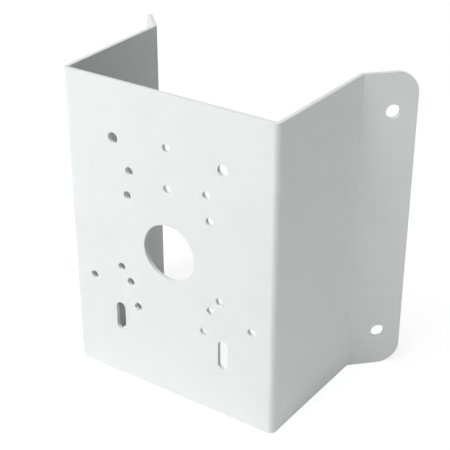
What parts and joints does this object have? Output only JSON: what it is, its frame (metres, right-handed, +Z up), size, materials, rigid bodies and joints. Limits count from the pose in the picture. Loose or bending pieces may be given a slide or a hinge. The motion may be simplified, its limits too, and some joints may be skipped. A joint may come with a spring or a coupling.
{
  "type": "camera corner mount bracket",
  "caption": "Corner bracket for a security camera: a folded metal sheet with a pierced plate, side wings and angled flanges that screw to the walls of an outside corner.",
  "frame": {"origin": "centre of the bounding box in plan, at the height of the sheet's lower edge", "axes": "+Z up along the folds, -Y out of the camera plate towards the viewer, +Y towards the wall corner, +X to the right as seen from the front"},
  "size_m": [0.228, 0.13, 0.23],
  "materials": {
    "powder_coat": "pale grey-white powder coat, satin, with a fine orange-peel texture"
  },
  "bodies": {
    "root": {"corner_bracket": "powder_coat"}
  },
  "joints": []
}
